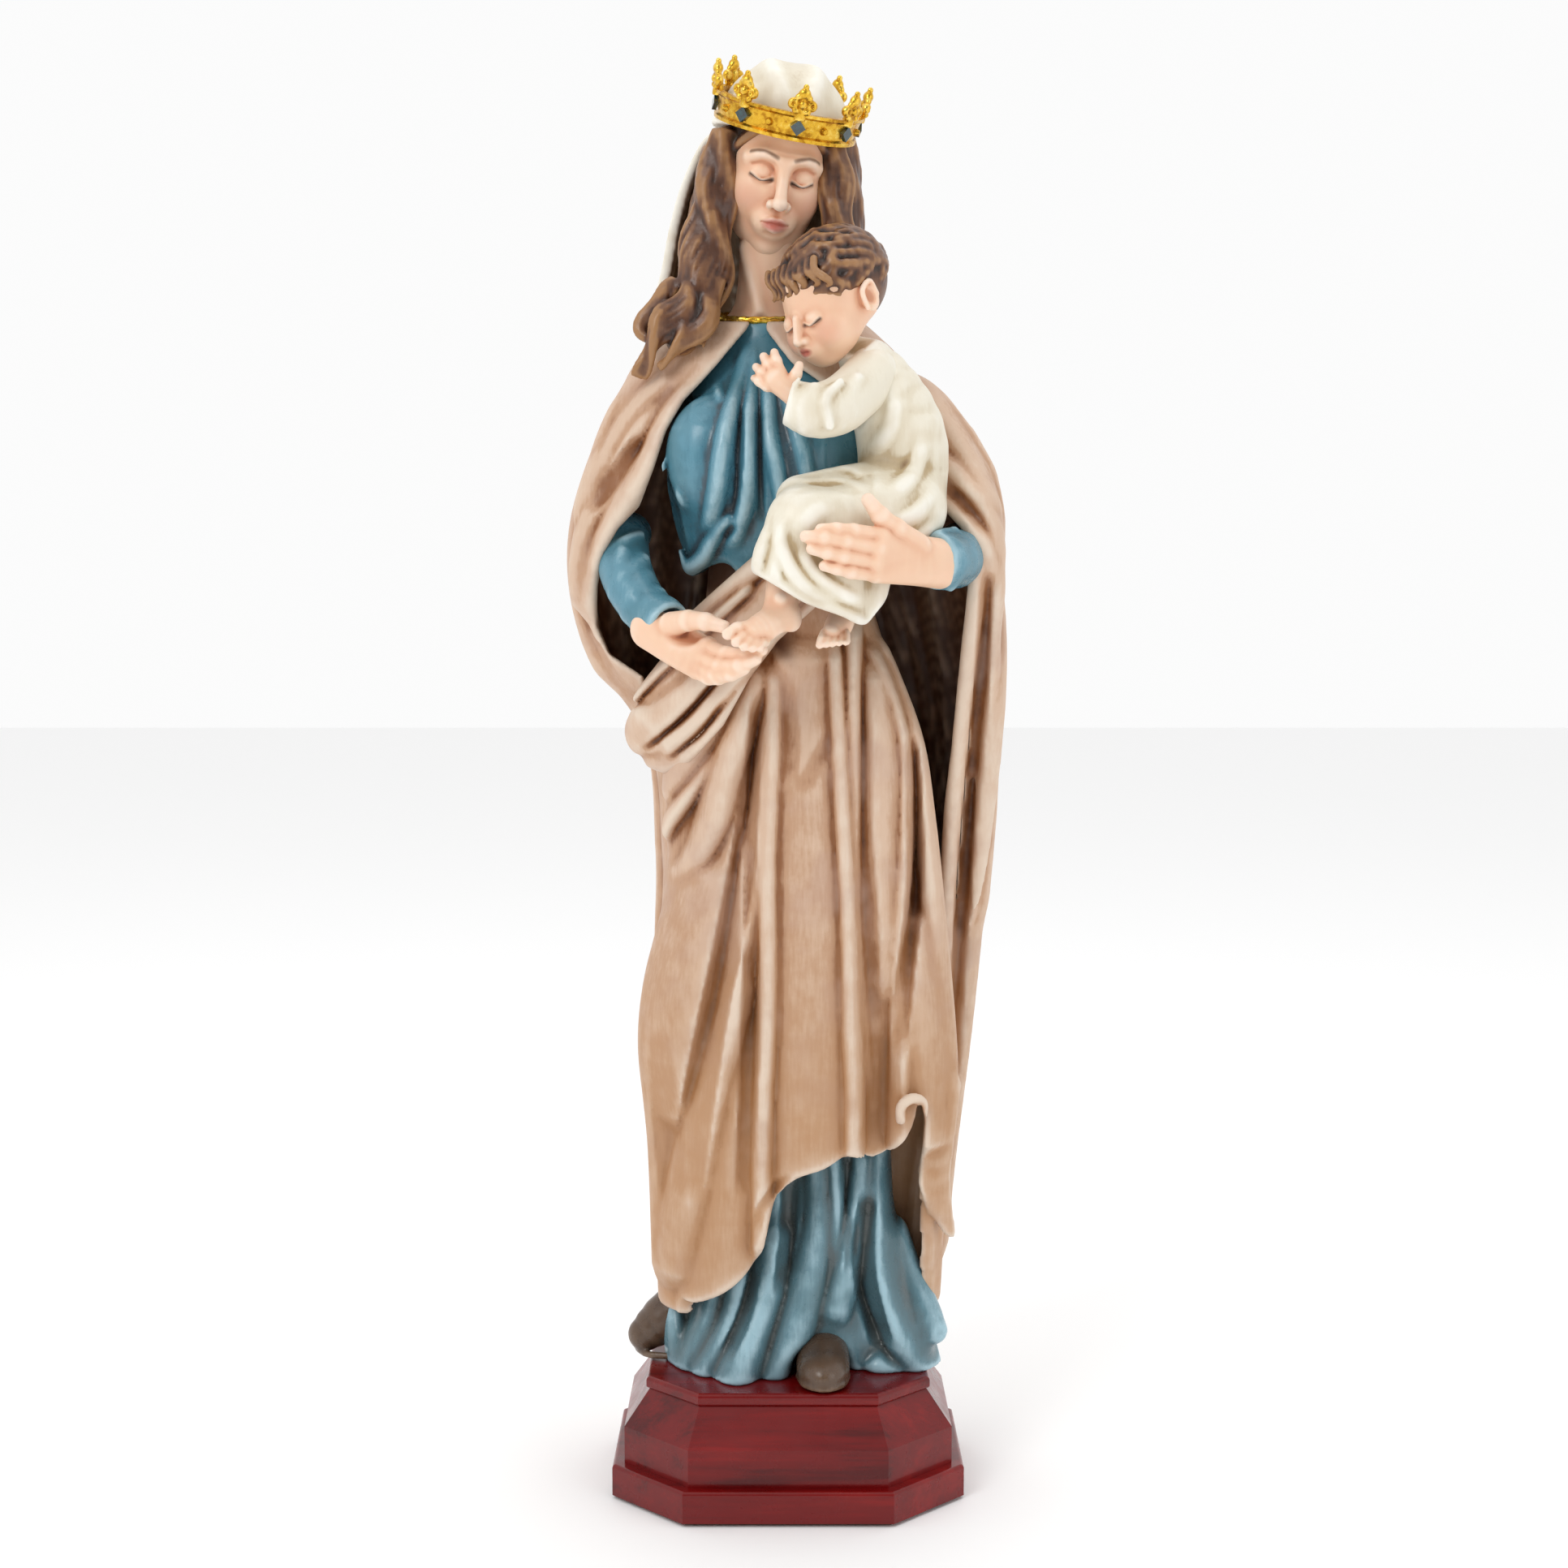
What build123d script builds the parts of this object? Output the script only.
from build123d import *
import os

# A free-standing madonna and child: a hollow resin figure, cast in pieces that are cemented
# together, and screwed down on a built-up octagonal wooden base. Millimetres, +Z up. The origin
# is the middle of the felt that the base stands on, and the figure faces -Y.

os.makedirs("parts", exist_ok=True)

# ---- the base ----
FELT = 1.5  # thickness of the felt pad
FELT_INSET = 3.0
FOOT_X, FOOT_Y = 146.0, 128.0  # outline of the foot moulding
FOOT_CORNER = 30.4  # how far each corner is cut back, both ways
FOOT_TOP = 14.5
BODY_X, BODY_Y = 136.0, 118.0  # outline of the upright part of the base body
BODY_BEND = 30.0  # height where the body starts to lean in
BODY_TOP_X, BODY_TOP_Y = 115.0, 97.0
BODY_TOP = 45.0
CAP_X, CAP_Y = 118.0, 100.0
BASE_TOP = 50.0  # the figure stands on this face
WALL = 14.0  # wood round the hollow inside of the base
BOARD = 5.0  # bottom board
BLOCK = 10.0  # glue blocks in the corners of the hollow

# ---- the fixings: one screw each side of the figure's middle ----
SCREW_MID, SCREW_APART = 4.0, 64.0
SCREW_R, SCREW_LONG = 2.5, 20.0
SCREW_HEAD_R, SCREW_HEAD_HIGH = 4.5, 3.0
WASHER_R, WASHER_THICK = 7.0, 1.2
INSERT_R, INSERT_LONG = 4.5, 14.0
screw_spots = [(SCREW_MID + side * SCREW_APART / 2, 0) for side in (-1, 1)]

# ---- head and crown ----
HEAD_MID = Vector(-5, -4, 549)
HEAD_UP = Vector(0.2, -0.32, 0.926).normalized()  # she bows, and leans to the child
HEAD_WIDE, HEAD_HIGH = 21.5, 32.5  # half sizes
CROWN_MID = Vector(-1.5, -11, 563)  # middle of the band's lower edge
BAND_LOW_R, BAND_TOP_R, BAND_HIGH, BAND_THICK = 28.0, 29.8, 11.0, 2.0
FLEURONS = 8
FLEURON_TURN = -78.0  # degrees, to the fleuron next to the middle of the brow
CHILD_HEAD_MID = Vector(17, -43, 492)
CHILD_HEAD_UP = Vector(0.36, -0.05, 0.93).normalized()
CHILD_HEAD_WIDE, CHILD_HEAD_HIGH = 20.0, 22.5
HAIR_THICK = 1.8
FIT = 0.2  # the joint that the hair is cemented over
ROUND_END = [(0.85, 0.4), (0.5, 0.85)]  # how far past a limb's end, and how wide, in end radii
VEIL_FRONT = 3.0  # beside the face the veil keeps behind this y, and the hair in front of it


def octagon(wide, deep):
    """A rectangle with its corners cut at 45 degrees, in line with the foot moulding's."""
    x, y = wide / 2, deep / 2
    cut = FOOT_CORNER - (FOOT_X - wide) * 0.29
    corners = [(x - cut, -y), (x, cut - y), (x, y - cut), (x - cut, y)]
    return Polyline(*corners, *[(-px, -py) for px, py in corners], close=True)


def stack(sections):
    """A loft of level ellipses, each (height, middle x, middle y, half width, half depth)."""
    with BuildPart() as made:
        for z, x, y, half_wide, half_deep in sections:
            with BuildSketch(Plane((x, y, z))):
                Ellipse(half_wide, half_deep)
        loft()
    return made.part


def limb(*stations):
    """A loft of circles along stations (x, y, z, radius), drawn in to a round end past each end."""
    spots = [Vector(*s[:3]) for s in stations]
    radii = [s[3] for s in stations]
    ways = [spots[min(i + 1, len(spots) - 1)] - spots[max(i - 1, 0)] for i in range(len(spots))]
    first, last = ways[0].normalized() * radii[0], ways[-1].normalized() * radii[-1]
    rings = list(zip(spots, ways, radii))
    head = [(spots[0] - first * far, ways[0], radii[0] * size) for far, size in ROUND_END]
    tail = [(spots[-1] + last * far, ways[-1], radii[-1] * size) for far, size in ROUND_END]
    with BuildPart() as made:
        for spot, way, radius in [*head, *rings, *reversed(tail)]:
            with BuildSketch(Plane(origin=spot, z_dir=way)):
                Circle(radius)
        loft()
    return made.part


def capsule(start, end, start_r, end_r):
    """A straight tapered rod with round ends, as one solid of revolution."""
    start, end = Vector(*start), Vector(*end)
    along = (end - start).normalized()
    out = Plane(origin=start, z_dir=along).x_dir
    long = (end - start).length
    with BuildPart() as made:
        with BuildSketch(Plane(origin=start, x_dir=out, z_dir=out.cross(along))):
            with BuildLine():
                Line((0, -start_r), (0, long + end_r))
                CenterArc((0, long), end_r, 90, -90)
                Line((end_r, long), (start_r, 0))
                CenterArc((0, 0), start_r, 0, -90)
            make_face()
        revolve(axis=Axis(start, along))
    return made.part


def egg(middle, up, half_wide, half_high):
    """A solid of revolution of half an ellipse that stands along up."""
    standing = Plane(origin=middle, z_dir=up)
    side = Plane(origin=middle, x_dir=standing.x_dir, z_dir=standing.x_dir.cross(standing.z_dir))
    with BuildPart() as made:
        with BuildSketch(side):
            with BuildLine():
                EllipticalCenterArc((0, 0), half_wide, half_high, start_angle=-90, arc_size=180)
                Line((0, -half_high), (0, half_high))
            make_face()
        revolve(axis=Axis(middle, up))
    return made.part


def front_cutter(points, depth):
    """A prism over an outline drawn from the front, (x, z), reaching from far in front to y=depth."""
    with BuildPart() as made:
        with BuildSketch(Plane(origin=(0, depth, 0), x_dir=(1, 0, 0), z_dir=(0, -1, 0))):
            with BuildLine():
                Polyline(*points, close=True)
            make_face()
        extrude(amount=200)
    return made.part


def trimmed(solid, *others):
    """What is left when the others are taken away, without the crumbs."""
    with BuildPart() as made:
        add(solid)
        for other in others:
            add(other, mode=Mode.SUBTRACT)
    left = made.part.solids()
    largest = max(s.volume for s in left)
    kept = [s for s in left if s.volume > largest / 4]
    return kept[0] if len(kept) == 1 else Compound(kept)


def trimmed_each(group, cutter):
    """Every solid of a group less the cutter."""
    return Compound([trimmed(solid, cutter) for solid in group.solids()])


# ================= base =================
with BuildPart() as felt_pad:
    with BuildSketch():
        with BuildLine():
            octagon(FOOT_X - 2 * FELT_INSET, FOOT_Y - 2 * FELT_INSET)
        make_face()
    extrude(amount=FELT)

with BuildPart() as base_foot:
    with BuildSketch(Plane.XY.offset(FELT)):
        with BuildLine():
            octagon(FOOT_X, FOOT_Y)
        make_face()
        offset(amount=-WALL - 5, mode=Mode.SUBTRACT)
    extrude(amount=FOOT_TOP - FELT)
    outline = base_foot.faces().sort_by(Axis.Z)[-1].outer_wire().edges()
    fillet(outline, radius=1.6)

with BuildPart() as bottom_board:
    with BuildSketch(Plane.XY.offset(FELT)):
        with BuildLine():
            octagon(FOOT_X, FOOT_Y)
        make_face()
        offset(amount=-WALL - 5.2, mode=Mode.INTERSECT)
    extrude(amount=BOARD)

with BuildPart() as base_body:
    with BuildSketch(Plane.XY.offset(FOOT_TOP)):
        with BuildLine():
            octagon(BODY_X, BODY_Y)
        make_face()
    extrude(amount=BODY_BEND - FOOT_TOP)
    with BuildSketch(Plane.XY.offset(BODY_BEND)):
        with BuildLine():
            octagon(BODY_X, BODY_Y)
        make_face()
    with BuildSketch(Plane.XY.offset(BODY_TOP)):
        with BuildLine():
            octagon(BODY_TOP_X, BODY_TOP_Y)
        make_face()
    loft()
    with BuildSketch(Plane.XY.offset(FOOT_TOP)):
        with BuildLine():
            octagon(BODY_TOP_X, BODY_TOP_Y)
        make_face()
        offset(amount=-WALL + 3, mode=Mode.INTERSECT)
    extrude(amount=BODY_TOP - FOOT_TOP, mode=Mode.SUBTRACT)

with BuildPart() as base_cap:
    with BuildSketch(Plane.XY.offset(BODY_TOP)):
        with BuildLine():
            octagon(CAP_X, CAP_Y)
        make_face()
    extrude(amount=BASE_TOP - BODY_TOP)
    fillet(base_cap.faces().sort_by(Axis.Z)[-1].edges(), radius=1.8)
    fillet(base_cap.faces().sort_by(Axis.Z)[0].edges(), radius=1.2)
    with Locations(*[(x, y, BASE_TOP) for x, y in screw_spots]):
        Hole(radius=SCREW_R + 0.3)

with BuildPart() as glue_blocks:
    with BuildSketch(Plane.XY.offset(FOOT_TOP + 4)):
        with GridLocations(BODY_TOP_X - 2 * WALL - 28, BODY_TOP_Y - 2 * WALL - 10, 2, 2):
            Rectangle(BLOCK, BLOCK)
    extrude(amount=BODY_TOP - FOOT_TOP - 4)

with BuildPart() as base_washers:
    with BuildSketch(Plane.XY.offset(BODY_TOP - WASHER_THICK)):
        with Locations(*screw_spots):
            Circle(WASHER_R)
            Circle(SCREW_R + 0.2, mode=Mode.SUBTRACT)
    extrude(amount=WASHER_THICK)

with BuildPart() as base_screws:
    with BuildSketch(Plane.XY.offset(BODY_TOP - WASHER_THICK - SCREW_HEAD_HIGH)):
        with Locations(*screw_spots):
            Circle(SCREW_HEAD_R)
            RegularPolygon(radius=2.2, side_count=6, mode=Mode.SUBTRACT)
    extrude(amount=SCREW_HEAD_HIGH / 2)
    with BuildSketch(Plane.XY.offset(BODY_TOP - WASHER_THICK - SCREW_HEAD_HIGH / 2)):
        with Locations(*screw_spots):
            Circle(SCREW_HEAD_R)
    extrude(amount=SCREW_HEAD_HIGH / 2)
    with BuildSketch(Plane.XY.offset(BODY_TOP - WASHER_THICK)):
        with Locations(*screw_spots):
            Circle(SCREW_R)
    extrude(amount=SCREW_LONG)

with BuildPart() as threaded_inserts:
    with BuildSketch(Plane.XY.offset(BASE_TOP)):
        with Locations(*screw_spots):
            Circle(INSERT_R)
            Circle(SCREW_R + 0.05, mode=Mode.SUBTRACT)
    extrude(amount=INSERT_LONG)

# ================= gown, bodice and sleeves: the blue pieces =================
skirt_solid = stack([
    (BASE_TOP, 8, -4, 57, 43), (75, 7, -3, 49, 40), (110, 6, -1, 46, 36),
    (170, 4, 0, 43, 34), (260, 0, 2, 40, 31), (372, 0, 3, 35, 28),
])
with BuildPart() as gown_skirt:
    add(skirt_solid)
    add(stack([
        (BASE_TOP, SCREW_MID, 0, 18, 16), (150, SCREW_MID, 0, 20, 16), (320, 0, 2, 14, 12),
    ]), mode=Mode.SUBTRACT)  # the slush-cast hollow
    with BuildSketch(Plane.XY.offset(BASE_TOP)):
        with Locations(*screw_spots):
            Circle(INSERT_R)
    extrude(amount=INSERT_LONG + 2, mode=Mode.SUBTRACT)

bodice_solid = stack([
    (372, 0, 1, 37, 30), (400, -3, -3, 40, 35), (430, -4, -5, 44, 37),
    (455, -5, 0, 45, 32), (474, -7, 4, 36, 24), (485, -9, 2, 19, 16),
])

neck_solid = limb((-12, 3, 478, 13), (-10, -1, 500, 11), (-8, -5, 522, 11))
neck_space = limb((-12, 3, 478, 13 + FIT), (-10, -1, 500, 11 + FIT), (-8, -5, 522, 11 + FIT))
head_solid = egg(HEAD_MID, HEAD_UP, HEAD_WIDE, HEAD_HIGH)
head_space = egg(HEAD_MID, HEAD_UP, HEAD_WIDE + FIT, HEAD_HIGH + FIT)

right_arm_solid = limb((-61, 4, 424, 17), (-67, -12, 398, 15.5), (-54, -38, 366, 11))
left_arm_solid = limb((70, 0, 410, 17), (74, -22, 392, 15), (60, -48, 386, 12.5))

# ================= head, hair and veil =================
crown_plane = Plane(origin=CROWN_MID, x_dir=Vector(0, 1, 0).cross(HEAD_UP), z_dir=HEAD_UP)

with BuildPart() as crown_band:
    with BuildSketch(Plane(origin=CROWN_MID, x_dir=crown_plane.x_dir,
                           z_dir=crown_plane.x_dir.cross(HEAD_UP))):
        with BuildLine():
            Polyline(
                (BAND_LOW_R - BAND_THICK, 0), (BAND_LOW_R + 1.2, 0), (BAND_LOW_R + 1.4, 1.4),
                (BAND_LOW_R + 0.3, 2.2), (BAND_TOP_R, BAND_HIGH - 2), (BAND_TOP_R + 1, BAND_HIGH - 1.2),
                (BAND_TOP_R + 1, BAND_HIGH), (BAND_TOP_R - BAND_THICK, BAND_HIGH), close=True,
            )
        make_face()
    revolve(axis=Axis(CROWN_MID, HEAD_UP))

with BuildPart(crown_plane.offset(BAND_HIGH)) as crown_fleurons:
    with PolarLocations(BAND_TOP_R - 0.4, FLEURONS, start_angle=FLEURON_TURN):
        Cone(2.6, 1.5, 7, align=(Align.CENTER, Align.CENTER, Align.MIN))
        with Locations((0.6, 3.4, 5.2), (0.6, -3.4, 5.2)):
            Sphere(2.5)
        with Locations((1.4, 0, 9.0)):
            Sphere(3.0)
        with Locations((1.8, 0, 12.0)):
            Sphere(1.6)

with BuildPart(crown_plane.offset(BAND_HIGH / 2)) as crown_gems:
    with PolarLocations(BAND_LOW_R + 1.0, FLEURONS, start_angle=FLEURON_TURN):
        with Locations(Location((0.9, 0, 0), (45, 0, 0))):
            Box(1.8, 4.4, 4.4)

with BuildPart(crown_plane) as band_core:  # the band filled in, to fit what is set on its face
    Cone(BAND_LOW_R - 0.15, BAND_TOP_R + 0.91, BAND_HIGH + 2, align=(Align.CENTER, Align.CENTER, Align.MIN))

with BuildPart(crown_plane.offset(BAND_HIGH / 2)) as crown_studs:
    with PolarLocations(BAND_LOW_R + 0.4, FLEURONS, start_angle=FLEURON_TURN + 180 / FLEURONS):
        with Locations(Location((0, 0, 0), (0, 90, 0))):
            Cone(1.8, 1.0, 2.4, align=(Align.CENTER, Align.CENTER, Align.MIN))

# ================= the child =================
child_head_solid = egg(CHILD_HEAD_MID, CHILD_HEAD_UP, CHILD_HEAD_WIDE, CHILD_HEAD_HIGH)
child_body_solid = limb((45, -33, 416, 19), (43, -36, 440, 20), (31, -40, 462, 14))
child_lap_solid = limb((46, -42, 412, 19), (24, -60, 412, 17), (4, -68, 407, 13.5))
child_hem_solid = stack([(364, 14, -62, 25, 9), (384, 7, -66, 20, 11), (404, 5, -67, 14, 12)])
child_sleeve_solid = limb((33, -50, 460, 12), (16, -66, 442, 11.5), (-1, -64, 449, 8.5))
child_hand_solid = limb((-2, -63, 452, 5.5), (-8, -56, 459, 5), (-11, -50, 466, 3))

with BuildPart() as child_near_foot_solid:
    add(limb((-2, -68, 380, 7.5), (-5, -70, 366, 7), (-12, -75, 358, 5.5)))
    for toe in range(5):
        with Locations((-18 + 1.9 * toe, -78 + 0.5 * toe, 355.5 - 1.2 * toe)):
            Sphere(2.2 - 0.15 * toe)

child_far_foot_solid = limb((27, -62, 370, 5.5), (23, -63, 359, 5))

# ================= hands =================
def hand(wrist, knuckles, palm_r, fingers, finger_r):
    """A palm from wrist to knuckles, with a finger for each pair of points."""
    with BuildPart() as made:
        add(capsule(wrist, knuckles, palm_r * 0.9, palm_r * 0.8))
        for root, tip in fingers:
            add(capsule(root, tip, finger_r, finger_r * 0.75))
    return made.part


right_hand_solid = hand((-52, -42, 362), (-36, -56, 355), 8.5, [
    [(-36, -58, 359), (-18, -70, 360)],  # thumb
    [(-32, -60, 351), (-11, -77, 350)],
    [(-33, -57, 347), (-15, -72, 344)],
], 3.4)
left_hand_solid = hand((56, -58, 387), (38, -78, 390), 9.5, [
    [(40, -76, 396), (29, -82, 412)],  # thumb
    [(34, -81, 396), (9, -90, 399)],
    [(34, -81, 391), (6, -91, 393.5)],
    [(34, -80, 386), (10, -90, 387.5)],
    [(36, -78, 381), (14, -87, 380.5)],
], 3.4)

# ================= mantle =================
wrap_solid = stack([
    (76, 2, 5, 60, 42), (110, 3, 3, 63, 46), (165, 3, 1, 69, 48), (190, 2, 1, 69, 47),
    (235, 3, 2, 61, 44), (300, 4, 2, 55, 42), (345, 0, 3, 47, 38), (372, 0, 2, 39, 32),
])
hem_cutter = front_cutter(
    [(-34, 60), (-34, 84), (-12, 116), (0, 138), (27, 150), (44, 152), (54, 166), (82, 166), (82, 60)], 5
)
swag_solid = limb((-58, -14, 318, 13), (-34, -38, 336, 13), (0, -44, 360, 12), (30, -32, 384, 10))
cape_solid = stack([
    (66, 10, 24, 54, 28), (120, 9, 24, 58, 29), (195, 9, 21, 67, 31), (265, 14, 19, 68, 33),
    (345, 2, 12, 84, 41), (370, -2, 7, 88, 44), (400, -2, 4, 88, 44), (430, -6, 4, 78, 42),
    (455, -9, 6, 67, 36), (475, -8, 8, 54, 28), (491, -8, 8, 36, 19),
])
cape_opening = front_cutter(
    [(-16, 500), (-30, 458), (-47, 428), (-58, 395), (-66, 372), (-70, 350), (-60, 320),
     (68, 320), (74, 372), (70, 400), (56, 440), (20, 470), (-2, 500)], 0
)
body_space = stack([  # all that the cape hangs round, with a little room to spare
    (56, 2, 5, 61, 43), (110, 3, 3, 64, 47), (165, 3, 1, 70, 49), (190, 2, 1, 70, 48),
    (235, 3, 2, 62, 45), (300, 4, 2, 56, 43), (345, 0, 3.5, 49.5, 40.5), (372, 0, 2.5, 42, 34.5),
    (400, -3, -3, 41, 36), (430, -4, -5, 45, 38), (455, -5, 0, 46, 33), (474, -7, 4, 37, 25),
    (488, -9, 2, 20, 17),
])

hair_cap = egg(HEAD_MID, HEAD_UP, HEAD_WIDE + HAIR_THICK, HEAD_HIGH + HAIR_THICK)
face_opening = limb((-8, -60, 500, 17), (-5, -60, 545, 17))
right_lock = limb((-27, -6, 545, 7), (-33, -9, 515, 9), (-42, -18, 487, 9), (-56, -24, 466, 4.5))
left_lock = limb((19, -6, 540, 6), (22, -6, 518, 7), (26, -6, 496, 7))
veil_outside = stack([
    (486, -7, 14, 52, 25), (510, -9, 13, 46, 27), (535, -7, 9, 38, 29), (560, -3, 0, 28, 29),
    (575, 1, -7, 24, 24), (586, 3, -11, 17, 17), (592, 4, -12, 9, 9),
])
veil_inside = stack([
    (484, -9, 5, 38, 26), (510, -10, 2, 33, 26), (535, -7, -2, 27.5, 27), (560, -3, -6, 25, 25),
    (575, 1, -12, 19, 19), (586, 2, -15, 8, 8),
])
veil_opening = front_cutter([(-80, 470), (-80, 553), (80, 553), (80, 470)], VEIL_FRONT)
with BuildPart() as crown_space:  # where the crown's band goes, with its fleurons' roots
    with BuildSketch(Plane(origin=CROWN_MID, x_dir=crown_plane.x_dir,
                           z_dir=crown_plane.x_dir.cross(HEAD_UP))):
        with Locations((BAND_LOW_R - BAND_THICK - 0.4, -0.6)):
            Rectangle(20, 32, align=(Align.MIN, Align.MIN))
    revolve(axis=Axis(CROWN_MID, HEAD_UP))
child_hair_cap = egg(CHILD_HEAD_MID + Vector(3, 2, 2), CHILD_HEAD_UP, 22.5, 24)
child_face_opening = limb((0, -66, 482, 16), (-8, -60, 474, 18))

# ================= trimming, so that each piece keeps its own space =================
pieces = {
    "felt_pad": felt_pad.part,
    "base_foot": base_foot.part,
    "bottom_board": bottom_board.part,
    "base_body": base_body.part,
    "base_cap": base_cap.part,
    "glue_blocks": glue_blocks.part,
    "base_washers": base_washers.part,
    "base_screws": base_screws.part,
    "threaded_inserts": threaded_inserts.part,
    "gown_skirt": gown_skirt.part,
    "crown_band": crown_band.part,
}


def settle(name, solid, *earlier):
    """Files a piece under its name, less the earlier pieces that it meets."""
    pieces[name] = trimmed(solid, *[pieces[other] for other in earlier]) if earlier else solid
    print(name, round(pieces[name].volume))


settle("crown_gems", crown_gems.part, "crown_band")
settle("crown_studs", trimmed_each(crown_studs.part, band_core.part))
settle("crown_fleurons", crown_fleurons.part, "crown_band")
settle("bodice", bodice_solid, "gown_skirt")
settle("head", head_solid)
settle("neck", neck_solid, "head", "bodice")
settle("child_head", child_head_solid, "bodice", "neck", "head")
settle("child_torso", child_body_solid, "child_head", "bodice")
settle("child_lap", child_lap_solid, "child_torso", "bodice")
settle("child_hem", child_hem_solid, "child_lap", "bodice", "gown_skirt")
settle("child_sleeve", child_sleeve_solid, "child_torso", "child_lap", "child_head", "bodice")
settle("child_hand", child_hand_solid, "child_sleeve", "child_head", "bodice")
settle("child_near_foot", child_near_foot_solid.part, "child_hem", "child_lap")
settle("child_far_foot", child_far_foot_solid, "child_hem", "child_near_foot", "gown_skirt")
settle("right_sleeve", right_arm_solid, "bodice")
settle("left_sleeve", left_arm_solid, "bodice", "child_torso", "child_lap")
settle("right_hand", right_hand_solid, "right_sleeve", "child_near_foot")
settle("left_hand", left_hand_solid, "left_sleeve", "child_lap", "child_hem", "child_torso")
settle("mantle_wrap", trimmed(wrap_solid, hem_cutter), "gown_skirt", "right_hand", "right_sleeve")
settle("waist_swag", swag_solid, "mantle_wrap", "gown_skirt", "bodice", "right_hand", "right_sleeve",
       "child_hem", "child_lap", "child_near_foot", "child_far_foot", "child_torso")
settle("cape", trimmed(cape_solid, cape_opening, body_space, swag_solid, right_arm_solid, left_arm_solid,
                       neck_solid, child_body_solid, child_lap_solid), "child_head")
with BuildPart() as hair_whole:
    add(hair_cap)
    add(face_opening, mode=Mode.SUBTRACT)
    add(right_lock)
    add(left_lock)
settle("hair", trimmed(hair_whole.part, crown_space.part, neck_space, head_space),
       "bodice", "cape", "child_head")
settle("veil", trimmed(veil_outside, veil_inside, veil_opening, crown_space.part), "cape", "bodice")
settle("child_hair", trimmed(child_hair_cap, child_face_opening), "child_head", "child_torso", "hair",
       "neck", "veil", "cape", "head", "bodice")

with BuildPart() as trim_ring:
    with Locations(Location((-10.5, -3, 485.5), (14, 0, 0))):
        Torus(17.5, 1.5)
settle("neck_trim", trim_ring.part, "neck", "bodice", "hair", "veil", "cape", "child_head")

with BuildPart() as left_shoe_solid:
    add(egg((14, -37, 58), (0, -1, 0), 10, 17))
    with Locations((14, -41, BASE_TOP)):
        Box(60, 60, 20, align=(Align.CENTER, Align.CENTER, Align.MAX), mode=Mode.SUBTRACT)
settle("left_shoe", left_shoe_solid.part, "gown_skirt")
with BuildPart() as right_shoe_solid:
    add(egg((-46, 8, 60), (-0.95, -0.1, 0.05), 9, 17))
    with Locations((-46, 8, BASE_TOP)):
        Box(60, 60, 20, align=(Align.CENTER, Align.CENTER, Align.MAX), mode=Mode.SUBTRACT)
settle("right_shoe", right_shoe_solid.part, "gown_skirt", "cape")

for name, piece in pieces.items():
    piece.label = name
    export_step(piece, f"parts/{name}.step")
print(len(pieces), "pieces")
